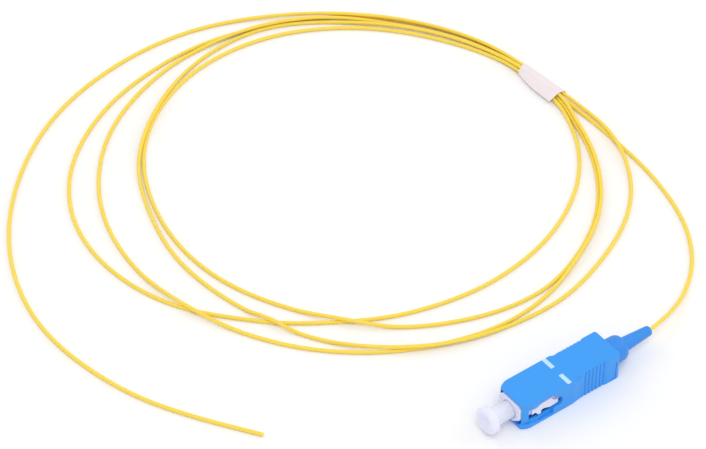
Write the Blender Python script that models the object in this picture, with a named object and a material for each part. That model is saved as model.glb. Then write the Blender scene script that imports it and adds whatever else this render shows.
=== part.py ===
"""A fibre optic pigtail: a square push-pull connector with its dust cap on, and thin fibre tied in a coil.

Units are millimetres until MM turns them into metres. +X is the way the plug goes into its adapter,
+Z is up, and the origin is under the middle of the connector, on the surface that it lies on.
"""

import math

import bmesh
import bpy
import numpy as np
from mathutils import Matrix, Vector

MM = 0.001

# Connector, along its axis. A depth is a distance behind the outer housing's front face.
HOUSING_LENGTH = 27.3
HOUSING_WIDTH = 9.0
HOUSING_HEIGHT = 7.4
CAP_REACH = 7.2
BOOT_END = 39.6
AXIS_HEIGHT = HOUSING_HEIGHT / 2
FRONT = (BOOT_END - CAP_REACH) / 2
FIT = 0.15
FINE_FIT = 0.05
BORE_FIT = 0.2

# Outer housing. What ends in AHEAD is measured forwards from the housing's rear face.
NOSE_LENGTH = 2.5
NOSE_INSET = 1.0
GRIP_AHEAD = 13.7
GRIP_INSET = 0.32
GRIP_SLOPE = 3.0
REAR_AHEAD = 3.7
REAR_SLOPE = 0.7
REAR_INSET = 0.15
REAR_ROUND = 0.6
WALL_SIDE = 0.95
WALL_TOP = 0.75
CAVITY_CORNER = 1.0
REAR_BORE_DEPTH = 4.8
MARK_DEPTH_IN = 12.75
MARK_LENGTH = 3.3
MARK_WIDTH = 1.15
MARK_RECESS = 0.3
WINDOW_START = 1.4
WINDOW_END = 10.9
WINDOW_TOP = 1.25
WINDOW_BOTTOM = 5.4
WINDOW_NOSE = 2.3
WINDOW_FRONT_SLOPE = (0.8, 0.6)
WINDOW_REAR_SLOPE = (3.0, 1.9)
WINDOW_CORNER = 0.7
RECESS_TOP = 4.7
RECESS_END = 8.5
RECESS_DEPTH = 0.45
LIP_FRONT = 1.4
LIP_REAR = 0.65
LIP_SLOPE = 2.1
RIB_COUNT = 6
RIB_AHEAD = 9.85
RIB_PITCH = 1.04
RIB_GROOVE = 0.42
RIB_RECESS = 0.22
CUTTER_SPARE = 1.0
CUTTER_LAP = 0.25

# Plug frame
FRAME_PROUD = 0.4
FRAME_END = 20.0
RECESS_BORE = 4.3
RECESS_FLOOR = 6.0
WEB = 1.0
CHAMBER_BORE = 4.6
FRAME_CORNER = 0.8
FRAME_DROP = 0.3
FRAME_UNDERCUT = (2.1, 1.75)
CATCH_PROUD = 0.6
CATCH_CLEAR_FRONT = 1.35
CATCH_CLEAR_REAR = 0.75
CATCH_TOP = 2.2
CATCH_BOTTOM = 4.25
CATCH_NOSE = 1.6
CATCH_STEP = 0.65
CATCH_SLOPE = 0.95
CATCH_TAIL = 1.15
CATCH_TAIL_DROP = 1.25
CATCH_BELLY = 0.65
CATCH_TOOTH_AT = 1.9
CATCH_TOOTH = 0.75
CATCH_TOOTH_DROP = 1.0

# Ferrule, its flange and its spring
FERRULE_DIAMETER = 2.5
FERRULE_LENGTH = 10.5
FERRULE_PROUD = 1.2
FERRULE_TIP_CHAMFER = 0.4
FLANGE_DIAMETER = 4.2
FLANGE_LENGTH = 2.4
FLANGE_TAIL_DIAMETER = 2.6
FLANGE_TAIL_LENGTH = 2.4
FLANGE_FLOOR = 0.5
FIBRE_HOLE = 1.1
SPRING_WIRE = 0.45
SPRING_DIAMETER = 4.2
SPRING_TURNS = 5.5
SPRING_STEPS_PER_TURN = 14

# Stop ring and boot
STOP_NOSE_START = 15.0
STOP_NOSE_DIAMETER = 4.2
STOP_FLANGE_DIAMETER = 5.2
STOP_FLANGE_LENGTH = 1.2
STOP_BARREL_DIAMETER = 4.4
STOP_END = 29.5
STOP_BORE = 2.2
BOOT_START = 24.0
BOOT_COLLAR_DIAMETER = 6.1
BOOT_SHOULDER = 30.0
BOOT_NECK = 31.55
BOOT_NECK_DIAMETER = 3.4
BOOT_NECK_STEP = 0.35
BOOT_TIP_DIAMETER = 2.4
BOOT_TIP_ROUND = 0.5
BOOT_BORE = 1.3

# Dust cap
CAP_SHAFT_DIAMETER = 4.05
CAP_HEAD_DIAMETER = 6.2
CAP_HEAD_LENGTH = 2.0
CAP_HEAD_ROUND = 0.6
CAP_HEAD_RIM = 0.3
CAP_START = 3.5
CAP_BORE = 2.7
CAP_BORE_SPARE = 1.4
CAP_MOUTH_CHAMFER = 0.3

# Fibre
FIBRE_DIAMETER = 0.9
FLOOR_HEIGHT = 0.46
JOIN_GAP = 0.3
FIBRE_END = 10.4
SIDES_RESOLUTION = 2
ROUTE_STEP = 6.5
LEAD_STRAIGHT = 2.0

# The coil's middle on the ground plan, which bearings and distances are measured from
COIL_MIDDLE = (-6.0, -84.0)

# Where each of the four passes lies at bearings round the coil: distance and height of the middle.
# A turn starts and ends inside the tape, and the pass that ends there goes on as the next one.
PASSES = {
    178: ((54.6, 0.85), (52.6, 0.85), (53.6, 0.85), (53.6, 1.84)),
    186: ((54.9, 0.85), (52.9, 0.85), (53.9, 0.85), (53.4, 1.69)),
    196: ((55.5, 0.50), (52.7, 0.50), (54.3, 0.50), (53.4, 1.25)),
    208: ((55.9, 0.46), (52.0, 0.46), (54.2, 0.46), (53.1, 1.20)),
    222: ((56.1, 0.46), (52.0, 0.46), (54.4, 0.46), (53.2, 1.15)),
    240: ((57.1, 0.46), (52.7, 0.46), (56.1, 1.10), (55.0, 0.46)),
    260: ((58.3, 0.46), (53.6, 0.46), (57.7, 1.30), (57.1, 0.46)),
    270: ((59.6, 0.46), (53.7, 0.46), (58.5, 0.85), (56.5, 0.46)),
    280: ((60.9, 0.46), (53.6, 0.46), (59.3, 0.46), (55.5, 0.46)),
    290: ((62.3, 0.46), (53.2, 0.46), (59.7, 0.46), (54.0, 1.10)),
    300: ((64.1, 0.46), (52.6, 0.46), (60.2, 0.46), (52.9, 1.42)),
    310: ((65.8, 0.46), (51.9, 0.46), (60.8, 0.46), (52.4, 1.35)),
    322: ((67.7, 0.46), (50.8, 0.46), (61.2, 0.46), (52.0, 0.70)),
    340: ((68.2, 0.46), (49.3, 0.46), (61.4, 0.46), (50.9, 0.46)),
    360: ((64.8, 0.46), (48.8, 0.46), (61.0, 0.55), (51.6, 0.46)),
    373: ((61.0, 0.46), (48.8, 0.46), (60.8, 1.45), (52.4, 0.46)),
    386: ((56.4, 0.46), (48.9, 0.46), (60.3, 0.55), (53.8, 0.60)),
    392: ((54.8, 0.46), (49.1, 0.46), (60.3, 0.46), (54.8, 1.45)),
    398: ((53.3, 0.46), (49.5, 0.55), (60.4, 0.46), (56.0, 0.70)),
    409: ((51.1, 0.46), (51.2, 1.45), (60.5, 0.46), (58.1, 0.65)),
    422: ((49.8, 0.46), (53.3, 0.55), (60.7, 0.46), (60.6, 1.47)),
    434: ((48.9, 0.46), (55.0, 0.46), (60.8, 0.46), (61.7, 1.15)),
    446: ((48.6, 0.46), (56.8, 0.46), (60.9, 0.46), (62.1, 0.50)),
    460: ((48.7, 0.46), (58.3, 0.46), (59.9, 0.60), (63.2, 0.46)),
    472: ((49.3, 0.46), (58.0, 0.46), (58.7, 1.25), (63.4, 0.46)),
    486: ((50.4, 0.46), (57.4, 0.46), (58.1, 1.35), (64.2, 0.46)),
    500: ((51.8, 0.46), (56.2, 0.46), (56.8, 1.38), (64.0, 0.60)),
    515: ((53.0, 0.46), (54.8, 0.46), (55.2, 1.45), (61.1, 1.47)),
    521: ((53.3, 0.55), (54.4, 0.55), (54.8, 1.53), (59.6, 0.80)),
    530: ((53.4, 0.85), (54.4, 0.85), (54.9, 1.74), (56.4, 1.45)),
}
# The tail from the tape round the outside: bearing, distance, height
TAIL = (
    (178, 54.8, 1.84),
    (186, 54.4, 1.70),
    (196, 54.9, 1.38),
    (208, 55.2, 1.30),
    (222, 55.6, 1.42),
    (240, 57.4, 1.40),
    (256, 61.2, 0.75),
    (272, 65.8, 0.46),
    (290, 70.3, 0.46),
    (308, 75.3, 0.46),
    (326, 80.1, 0.46),
    (344, 85.2, 0.46),
    (362, 88.4, 0.46),
    (371, 88.5, 0.46),
    (380, 88.3, 0.46),
    (390, 87.5, 0.46),
    (399.6, 87.75, 0.46),
)

# The lead from the boot's end to the tape: x, y and height of the middle
LEAD = (
    (-25.8, -0.45, 3.50),
    (-29.1, -1.5, 2.85),
    (-33.0, -3.0, 1.95),
    (-37.3, -5.1, 1.00),
    (-42.0, -8.0, 0.50),
    (-47.5, -12.6, 0.46),
    (-51.3, -17.3, 0.46),
    (-55.2, -24.2, 0.46),
    (-58.4, -33.8, 0.46),
    (-60.3, -44.0, 0.46),
    (-61.0, -54.0, 0.46),
    (-61.2, -63.0, 0.46),
    (-61.0, -69.0, 0.55),
    (-60.6, -75.0, 0.85),
)

# Tape round the coil: where it starts and ends, and its inside at both mouths
TAPE_FROM = -89.0
TAPE_TO = -75.2
TAPE_WALL = 0.25
TAPE_NARROW = (-61.3, -57.95)
TAPE_WIDE = (-62.1, -57.7)
TAPE_INSIDE_TOP = 2.45
TAPE_CORNER = 0.7
TAPE_INSIDE_CORNER = 0.25


def metres(point):
    return Vector(tuple(value * MM for value in point))


def clear_scene():
    for obj in list(bpy.data.objects):
        bpy.data.objects.remove(obj, do_unlink=True)


def material(name, colour, roughness, metallic=0.0):
    made = bpy.data.materials.new(name)
    made.use_nodes = True
    shader = made.node_tree.nodes["Principled BSDF"]
    shader.inputs["Base Color"].default_value = (*colour, 1.0)
    shader.inputs["Roughness"].default_value = roughness
    shader.inputs["Metallic"].default_value = metallic
    return made


def object_from(name, mesh_data, surface=None):
    mesh = bpy.data.meshes.new(name)
    bmesh.ops.recalc_face_normals(mesh_data, faces=mesh_data.faces)
    mesh_data.to_mesh(mesh)
    mesh_data.free()
    obj = bpy.data.objects.new(name, mesh)
    bpy.context.scene.collection.objects.link(obj)
    if surface:
        mesh.materials.append(surface)
    return obj


def seat(obj, centre, parent=None):
    """Gives a piece its origin at a point: on its joint's axis where it moves."""
    obj.data.transform(Matrix.Translation(-metres(centre)))
    obj.location = metres(centre)
    if parent:
        obj.parent = parent
        obj.location -= parent.location
    return obj


def along(depth):
    """World x of a depth behind the housing's front face."""
    return FRONT - depth


def turned(name, profile, surface=None, segments=40, hollow=True):
    """A piece turned about the connector's axis from (depth, radius) points; a hollow one is closed."""
    data = bmesh.new()
    rings = []
    for depth, radius in profile:
        if radius == 0:
            rings.append([data.verts.new(metres((along(depth), 0, AXIS_HEIGHT)))])
            continue
        ring = []
        for step in range(segments):
            angle = 2 * math.pi * (step + 0.5) / segments
            point = (along(depth), radius * math.cos(angle), AXIS_HEIGHT + radius * math.sin(angle))
            ring.append(data.verts.new(metres(point)))
        rings.append(ring)
    pairs = list(zip(rings, rings[1:]))
    if hollow:
        pairs.append((rings[-1], rings[0]))
    for first, second in pairs:
        for step in range(segments):
            following = (step + 1) % segments
            corners = [first[step % len(first)], first[following % len(first)]]
            corners += [second[following % len(second)], second[step % len(second)]]
            unique = list(dict.fromkeys(corners))
            if len(unique) > 2:
                data.faces.new(unique)
    made = object_from(name, data, surface)
    made.data.shade_smooth()
    made.data.set_sharp_from_angle(angle=math.radians(35))
    return made


def prism(name, outline, low, high, place, surface=None):
    """An outline in two directions run from low to high in the third; place orders the three as x, y, z."""
    data = bmesh.new()
    rings = []
    for level in (low, high):
        rings.append([data.verts.new(metres(place(first, second, level))) for first, second in outline])
    data.faces.new(rings[0])
    data.faces.new(rings[1])
    for index in range(len(outline)):
        following = (index + 1) % len(outline)
        data.faces.new((rings[0][index], rings[0][following], rings[1][following], rings[1][index]))
    return object_from(name, data, surface)


def seen_from_above(first, second, level):
    return (along(first), second, level)


def seen_from_side(first, second, level):
    return (along(first), level, HOUSING_HEIGHT - second)


def seen_from_front(first, second, level):
    return (along(level), first, second)


def cut(target, cutter):
    cutter.hide_render = True
    cutter.display_type = "WIRE"
    modifier = target.modifiers.new("cut " + cutter.name, "BOOLEAN")
    modifier.operation = "DIFFERENCE"
    modifier.object = cutter


def join(target, other):
    other.hide_render = True
    other.display_type = "WIRE"
    modifier = target.modifiers.new("join " + other.name, "BOOLEAN")
    modifier.operation = "UNION"
    modifier.object = other


def box_outline(half_width, low, high, low_corner, high_corner):
    """A section across the connector with its corners cut off: each corner is (across, up)."""
    right = [
        (half_width - low_corner[0], low), (half_width, low + low_corner[1]),
        (half_width, high - high_corner[1]), (half_width - high_corner[0], high),
    ]
    return right + [(-across, up) for across, up in reversed(right)]


def corner_arc(middle, radius, start, end, steps=4):
    """Points round a corner of an outline, from one angle to another in degrees."""
    angles = [math.radians(start + (end - start) * step / steps) for step in range(steps + 1)]
    return [(middle[0] + radius * math.cos(angle), middle[1] + radius * math.sin(angle)) for angle in angles]


def eased(start, end, before, after, steps=4):
    """Points of a soft step from one reach to another along the connector."""
    made = []
    for step in range(steps + 1):
        share = step / steps
        change = (1 - math.cos(math.pi * share)) / 2
        made.append((start + (end - start) * share, before + (after - before) * change))
    return made


def nose_side(inset, reach, steps=5):
    """The nose's curve from above, from the front face back to where the side is straight."""
    shares = [step / steps for step in range(steps + 1)]
    return [(NOSE_LENGTH * share, reach - inset * (1 - share) ** 2) for share in shares]


def housing_outline():
    """The outer housing from above: tapered nose, straight sides, drawn-in ribbed grip and rear end."""
    half = HOUSING_WIDTH / 2
    grip = HOUSING_LENGTH - GRIP_AHEAD
    rear = HOUSING_LENGTH - REAR_AHEAD
    side = nose_side(NOSE_INSET, half)
    side += eased(grip, grip + GRIP_SLOPE, half, half - GRIP_INSET)
    for index in range(RIB_COUNT):
        middle = HOUSING_LENGTH - RIB_AHEAD + index * RIB_PITCH
        for edge, reach in ((-1, 0), (-1, RIB_RECESS), (1, RIB_RECESS), (1, 0)):
            side.append((middle + edge * RIB_GROOVE / 2, half - GRIP_INSET - reach))
    side += eased(rear - REAR_SLOPE, rear, half - GRIP_INSET, half - REAR_INSET)
    side += corner_arc((HOUSING_LENGTH - REAR_ROUND, half - REAR_INSET - REAR_ROUND), REAR_ROUND, 90, 0)
    return side + [(depth, -reach) for depth, reach in reversed(side)]


def frame_half_width():
    return HOUSING_WIDTH / 2 - WALL_SIDE - FIT


def frame_low():
    return WALL_TOP + FRAME_DROP


def frame_high():
    return HOUSING_HEIGHT - WALL_TOP - FIT


def make_housing(blue):
    housing = prism("outer_housing", housing_outline(), 0, HOUSING_HEIGHT, seen_from_above, blue)
    half = HOUSING_WIDTH / 2
    past = CUTTER_SPARE
    ceiling = HOUSING_HEIGHT - WALL_TOP
    low_corner = (CAVITY_CORNER, CAVITY_CORNER)
    cavity = box_outline(half - WALL_SIDE, WALL_TOP, ceiling, low_corner, (CUTTER_LAP, CUTTER_LAP))
    bore_start = HOUSING_LENGTH - REAR_BORE_DEPTH
    cut(housing, prism("cavity", cavity, -past, bore_start + CUTTER_LAP, seen_from_front))
    bore_radius = BOOT_COLLAR_DIAMETER / 2 + BORE_FIT
    bore_end = HOUSING_LENGTH + past
    bore = [(bore_start, 0), (bore_start, bore_radius), (bore_end, bore_radius), (bore_end, 0)]
    cut(housing, turned("rear_bore", bore, hollow=False))
    cut(housing, prism("windows", window_outline(), -half - past, half + past, seen_from_side))
    for side, name in ((1, "left"), (-1, "right")):
        sides = sorted((side * (half - RECESS_DEPTH), side * (half + past)))
        cut(housing, prism("recess_" + name, recess_outline(), *sides, seen_from_side))
        levels = (LIP_FRONT, HOUSING_HEIGHT - RECESS_TOP)
        cut(housing, prism("nose_recess_" + name, nose_outline(side), *levels, seen_from_above))
        levels = (HOUSING_HEIGHT - MARK_RECESS, HOUSING_HEIGHT + past)
        cut(housing, prism("mark_" + name, mark_outline(side), *levels, seen_from_above))
    return housing


def window_outline():
    """From the side, as depth behind the front and distance below the top: higher in its middle."""
    front_run, front_drop = WINDOW_FRONT_SLOPE
    rear_run, rear_drop = WINDOW_REAR_SLOPE
    nose = WINDOW_START + WINDOW_NOSE
    return [
        (WINDOW_START, WINDOW_TOP + front_drop), (nose, WINDOW_TOP + front_drop),
        (nose + front_run, WINDOW_TOP), (WINDOW_END - rear_run, WINDOW_TOP),
        (WINDOW_END, WINDOW_TOP + rear_drop), (WINDOW_END, WINDOW_BOTTOM - WINDOW_CORNER),
        (WINDOW_END - WINDOW_CORNER, WINDOW_BOTTOM), (WINDOW_START, WINDOW_BOTTOM),
    ]


def recess_outline():
    """The shallow step under the window, which leaves a lip that is thick in front."""
    low_front, low_rear = HOUSING_HEIGHT - LIP_FRONT, HOUSING_HEIGHT - LIP_REAR
    return [
        (NOSE_LENGTH - CUTTER_LAP, RECESS_TOP), (RECESS_END, RECESS_TOP), (RECESS_END, low_rear),
        (NOSE_LENGTH + LIP_SLOPE, low_rear), (NOSE_LENGTH, low_front), (NOSE_LENGTH - CUTTER_LAP, low_front),
    ]


def nose_outline(side):
    """The same step run on round the nose, from above, where it runs out at the front face."""
    half = HOUSING_WIDTH / 2
    past = CUTTER_SPARE
    outline = nose_side(NOSE_INSET - RECESS_DEPTH, half - RECESS_DEPTH)
    outline += [(NOSE_LENGTH, half + past), (-past, half + past), (-past, half - NOSE_INSET)]
    return [(depth, side * reach) for depth, reach in outline]


def mark_outline(side):
    """A groove from one side edge of the top inwards."""
    near = side * (HOUSING_WIDTH / 2 - MARK_LENGTH)
    far = side * (HOUSING_WIDTH / 2 + CUTTER_SPARE)
    front = MARK_DEPTH_IN - MARK_WIDTH / 2
    rear = MARK_DEPTH_IN + MARK_WIDTH / 2
    return [(front, near), (rear, near), (rear, far), (front, far)]


def catch_outline():
    """The catch that shows in a window: high in its middle, low at its tail, with a tooth below."""
    start, end = WINDOW_START + CATCH_CLEAR_FRONT, WINDOW_END - CATCH_CLEAR_REAR
    tail_top = CATCH_TOP + CATCH_TAIL_DROP
    nose = start + CATCH_NOSE
    tail = end - CATCH_TAIL
    tooth = start + CATCH_TOOTH_AT
    belly = tooth + CATCH_TOOTH * 2
    return [
        (start, CATCH_TOP + CATCH_STEP), (nose, CATCH_TOP + CATCH_STEP), (nose + CATCH_SLOPE, CATCH_TOP),
        (tail - CATCH_SLOPE, CATCH_TOP), (tail, tail_top), (end, tail_top),
        (end, CATCH_BOTTOM + CATCH_BELLY / 2), (tail - CATCH_TAIL, CATCH_BOTTOM + CATCH_BELLY),
        (belly, CATCH_BOTTOM), (tooth + CATCH_TOOTH, CATCH_BOTTOM),
        (tooth + CATCH_TOOTH, CATCH_BOTTOM + CATCH_TOOTH_DROP), (tooth, CATCH_BOTTOM + CATCH_TOOTH_DROP),
        (tooth - CATCH_TOOTH, CATCH_BOTTOM), (start, CATCH_BOTTOM),
    ]


def make_frame(white):
    high_corner = (FRAME_CORNER, FRAME_CORNER)
    outline = box_outline(frame_half_width(), frame_low(), frame_high(), FRAME_UNDERCUT, high_corner)
    frame = prism("plug_frame", outline, -FRAME_PROUD, FRAME_END, seen_from_front, white)
    reach = frame_half_width() + CATCH_PROUD
    join(frame, prism("catches", catch_outline(), -reach, reach, seen_from_side))
    recess = RECESS_BORE / 2
    passage = FERRULE_DIAMETER / 2 + FIT
    chamber = CHAMBER_BORE / 2
    front = -FRAME_PROUD - CUTTER_SPARE
    rear = FRAME_END + CUTTER_SPARE
    web = RECESS_FLOOR + WEB
    bore = [
        (front, 0), (front, recess), (RECESS_FLOOR, recess), (RECESS_FLOOR, passage),
        (web, passage), (web, chamber), (rear, chamber), (rear, 0),
    ]
    cut(frame, turned("frame_bore", bore, hollow=False))
    return frame


def ferrule_tip():
    return -FRAME_PROUD - FERRULE_PROUD


def make_ferrule(zirconia):
    tip, end, radius = ferrule_tip(), ferrule_tip() + FERRULE_LENGTH, FERRULE_DIAMETER / 2
    profile = [
        (tip, 0), (tip, radius - FERRULE_TIP_CHAMFER), (tip + FERRULE_TIP_CHAMFER, radius),
        (end, radius), (end, 0),
    ]
    return turned("ferrule", profile, zirconia, segments=32, hollow=False)


def flange_start():
    return RECESS_FLOOR + WEB + FIT


def make_flange(metal):
    start = flange_start()
    shoulder = start + FLANGE_LENGTH
    end = shoulder + FLANGE_TAIL_LENGTH
    seat = FERRULE_DIAMETER / 2 + FINE_FIT
    floor = ferrule_tip() + FERRULE_LENGTH + FINE_FIT
    hole = FIBRE_HOLE / 2
    profile = [
        (start, seat), (start, FLANGE_DIAMETER / 2), (shoulder, FLANGE_DIAMETER / 2),
        (shoulder, FLANGE_TAIL_DIAMETER / 2), (end, FLANGE_TAIL_DIAMETER / 2), (end, hole),
        (max(floor, start + FLANGE_FLOOR), hole), (max(floor, start + FLANGE_FLOOR), seat),
    ]
    return turned("ferrule_flange", profile, metal, segments=32)


def make_spring(steel):
    start = flange_start() + FLANGE_LENGTH + FIT + SPRING_WIRE / 2
    end = STOP_NOSE_START - FIT - SPRING_WIRE / 2
    radius = (SPRING_DIAMETER - SPRING_WIRE) / 2
    count = round(SPRING_TURNS * SPRING_STEPS_PER_TURN)
    points = []
    for index in range(count + 1):
        share = index / count
        angle = 2 * math.pi * SPRING_TURNS * share
        depth = start + (end - start) * share
        points.append((along(depth), radius * math.cos(angle), AXIS_HEIGHT + radius * math.sin(angle)))
    return tube("spring", points, SPRING_WIRE, steel)


def make_stop_ring(metal):
    flange_at = FRAME_END + FIT
    flange_to = flange_at + STOP_FLANGE_LENGTH
    hole = STOP_BORE / 2
    profile = [
        (STOP_NOSE_START, hole), (STOP_NOSE_START, STOP_NOSE_DIAMETER / 2),
        (flange_at, STOP_NOSE_DIAMETER / 2),
        (flange_at, STOP_FLANGE_DIAMETER / 2), (flange_to, STOP_FLANGE_DIAMETER / 2),
        (flange_to, STOP_BARREL_DIAMETER / 2), (STOP_END, STOP_BARREL_DIAMETER / 2), (STOP_END, hole),
    ]
    return turned("stop_ring", profile, metal, segments=32)


def make_boot(blue):
    collar, neck, tip = BOOT_COLLAR_DIAMETER / 2, BOOT_NECK_DIAMETER / 2, BOOT_TIP_DIAMETER / 2
    inner = STOP_BARREL_DIAMETER / 2 + FIT
    hole = BOOT_BORE / 2
    pocket = STOP_END + FIT
    shoulder = []
    steps = 5
    for index in range(steps + 1):
        angle = math.pi / 2 * index / steps
        depth = BOOT_SHOULDER + (BOOT_NECK - BOOT_SHOULDER) * math.sin(angle)
        foot = neck + BOOT_NECK_STEP
        shoulder.append((depth, foot + (collar - foot) * math.cos(angle)))
    end_round = []
    for index in range(4):
        angle = math.pi / 2 * index / 3
        depth = BOOT_END - BOOT_TIP_ROUND + BOOT_TIP_ROUND * math.sin(angle)
        end_round.append((depth, tip - BOOT_TIP_ROUND + BOOT_TIP_ROUND * math.cos(angle)))
    profile = [(BOOT_START, inner), (BOOT_START, collar)] + shoulder + [(BOOT_NECK, neck)] + end_round
    profile += [(BOOT_END, hole), (pocket, hole), (pocket, inner)]
    return turned("boot", profile, blue)


def make_cap(milky):
    shaft, head = CAP_SHAFT_DIAMETER / 2, CAP_HEAD_DIAMETER / 2
    bore = CAP_BORE / 2
    head_rear = -CAP_REACH + CAP_HEAD_LENGTH
    front_round = []
    for index in range(4):
        angle = math.pi / 2 * index / 3
        depth = -CAP_REACH + CAP_HEAD_ROUND - CAP_HEAD_ROUND * math.cos(angle)
        front_round.append((depth, head - CAP_HEAD_ROUND + CAP_HEAD_ROUND * math.sin(angle)))
    bore_end = ferrule_tip() - CAP_BORE_SPARE
    profile = [(-CAP_REACH, 0)] + front_round
    profile += [(head_rear - CAP_HEAD_RIM, head), (head_rear, head - CAP_HEAD_RIM), (head_rear, shaft)]
    profile += [(CAP_START, shaft), (CAP_START, bore + CAP_MOUTH_CHAMFER)]
    profile += [(CAP_START - CAP_MOUTH_CHAMFER, bore), (bore_end, bore), (bore_end, 0)]
    return turned("dust_cap", profile, milky, hollow=False)


def tube(name, points, diameter, surface):
    curve = bpy.data.curves.new(name, "CURVE")
    curve.dimensions = "3D"
    spline = curve.splines.new("POLY")
    spline.points.add(len(points) - 1)
    for place, point in zip(spline.points, points):
        place.co = (*metres(point), 1.0)
    curve.bevel_depth = diameter / 2 * MM
    curve.bevel_resolution = SIDES_RESOLUTION
    curve.use_fill_caps = True
    curve.materials.append(surface)
    obj = bpy.data.objects.new(name, curve)
    bpy.context.scene.collection.objects.link(obj)
    return obj


def smooth(positions, values, wanted):
    """A natural cubic through values at positions, read at the wanted positions."""
    positions, values = np.asarray(positions, float), np.asarray(values, float)
    count = len(positions)
    gaps = np.diff(positions)
    matrix = np.eye(count)
    right = np.zeros(values.shape)
    for row in range(1, count - 1):
        matrix[row, row - 1:row + 2] = gaps[row - 1], 2 * (gaps[row - 1] + gaps[row]), gaps[row]
        rise = (values[row + 1] - values[row]) / gaps[row]
        right[row] = 6 * (rise - (values[row] - values[row - 1]) / gaps[row - 1])
    bend = np.linalg.solve(matrix, right)
    wanted = np.asarray(wanted, float)
    at = np.clip(np.searchsorted(positions, wanted) - 1, 0, count - 2)
    gap = gaps[at]
    ahead = (positions[at + 1] - wanted) / gap
    behind = (wanted - positions[at]) / gap
    if values.ndim == 2:
        gap, ahead, behind = gap[:, None], ahead[:, None], behind[:, None]
    curve = ahead * values[at] + behind * values[at + 1]
    return curve + ((ahead**3 - ahead) * bend[at] + (behind**3 - behind) * bend[at + 1]) * gap**2 / 6


def round_the_coil(bearing, distance, height):
    angle = math.radians(bearing)
    return (COIL_MIDDLE[0] + distance * math.cos(angle), COIL_MIDDLE[1] + distance * math.sin(angle), height)


def between(positions, step):
    """Every position, and even steps of about the given size from one to the next."""
    wanted = [positions[0]]
    for start, end in zip(positions, positions[1:]):
        pieces = max(1, round((end - start) / step))
        wanted += [start + (end - start) * (index + 1) / pieces for index in range(pieces)]
    return np.array(wanted)


def fibre_route():
    """The lead, the four turns and the tail, cut where they pass through the tape, from one smooth curve."""
    exit_at = along(BOOT_END)
    straight = [(exit_at + LEAD_STRAIGHT, 0, AXIS_HEIGHT), (exit_at, 0, AXIS_HEIGHT)]
    lead = straight + list(LEAD)
    coil = [round_the_coil(bearing, *lanes[turn]) for turn in range(4) for bearing, lanes in PASSES.items()]
    tail = [round_the_coil(*place) for place in TAIL]
    places = np.array(lead + coil + tail, float)
    travelled = np.concatenate(([0], np.cumsum(np.linalg.norm(np.diff(places, axis=0), axis=1))))
    wanted = between(travelled, ROUTE_STEP)
    read = smooth(travelled, places, wanted)
    read[:, 2] = np.maximum(read[:, 2], FLOOR_HEIGHT)
    first = int(np.searchsorted(wanted, travelled[len(lead)]))
    last = int(np.searchsorted(wanted, travelled[len(lead) + len(coil)]))
    inside = (along(FIBRE_END), 0, AXIS_HEIGHT)
    return np.vstack((inside, read[:first + 1])), read[first:last + 1], read[last:]


def shortened(points, at_start=0.0, at_end=0.0):
    """The same route with a little less at its ends, so that two tubes meet face to face with a gap."""
    points = np.array(points, float)
    for end, inner, less in ((0, 1, at_start), (-1, -2, at_end)):
        step = points[inner] - points[end]
        points[end] += step / np.linalg.norm(step) * less
    return points


def make_fibre(yellow):
    half_gap = JOIN_GAP / 2
    lead, coil, tail = fibre_route()
    tube("fibre_lead", shortened(lead, at_end=half_gap), FIBRE_DIAMETER, yellow)
    tube("fibre_coil", shortened(coil, half_gap, half_gap), FIBRE_DIAMETER, yellow)
    tube("fibre_tail", shortened(tail, at_start=half_gap), FIBRE_DIAMETER, yellow)


def tape_ring(sides, low, high, corner):
    left, right = sides
    return [
        (left + corner, low), (right - corner, low), (right, low + corner), (right, high - corner),
        (right - corner, high), (left + corner, high), (left, high - corner), (left, low + corner),
    ]


def make_tape(paper):
    """A flattened sleeve of tape, wider at the mouth where the turns spread."""
    data = bmesh.new()
    low, high = TAPE_WALL, TAPE_INSIDE_TOP
    rings = []
    for y, sides in ((TAPE_FROM, TAPE_NARROW), (TAPE_TO, TAPE_WIDE)):
        outer_sides = (sides[0] - TAPE_WALL, sides[1] + TAPE_WALL)
        inner = tape_ring(sides, low, high, TAPE_INSIDE_CORNER)
        outer = tape_ring(outer_sides, 0, high + TAPE_WALL, TAPE_CORNER)
        for outline in (inner, outer):
            rings.append([data.verts.new(metres((x, y, z))) for x, z in outline])
    inner_from, outer_from, inner_to, outer_to = rings
    walls = ((inner_from, inner_to), (outer_from, outer_to), (inner_from, outer_from), (inner_to, outer_to))
    count = len(inner_from)
    for index in range(count):
        following = (index + 1) % count
        for first, second in walls:
            data.faces.new((first[index], first[following], second[following], second[index]))
    return object_from("tape_tie", data, paper)


def build():
    clear_scene()
    blue = material("connector blue", (0.06, 0.36, 0.92), 0.35)
    boot_blue = material("boot blue", (0.05, 0.27, 0.78), 0.5)
    white = material("frame white", (0.80, 0.82, 0.90), 0.4)
    milky = material("milky cap", (0.78, 0.80, 0.92), 0.35)
    zirconia = material("white ceramic", (0.86, 0.86, 0.84), 0.15)
    metal = material("nickel", (0.62, 0.61, 0.58), 0.3, 1.0)
    steel = material("spring steel", (0.50, 0.50, 0.52), 0.3, 1.0)
    yellow = material("buffer yellow", (0.91, 0.70, 0.08), 0.45)
    paper = material("pale tape", (0.86, 0.80, 0.84), 0.6)
    centre = (0, 0, AXIS_HEIGHT)
    connector = bpy.data.objects.new("connector_axis", None)
    connector.location = metres(centre)
    bpy.context.scene.collection.objects.link(connector)
    pieces = [
        make_housing(blue), make_frame(white), make_ferrule(zirconia), make_flange(metal),
        make_spring(steel), make_stop_ring(metal), make_boot(boot_blue), make_cap(milky),
    ]
    for piece in pieces:
        seat(piece, centre, connector)
    make_fibre(yellow)
    seat(make_tape(paper), (sum(TAPE_WIDE) / 2, (TAPE_FROM + TAPE_TO) / 2, 0))


build()
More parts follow.
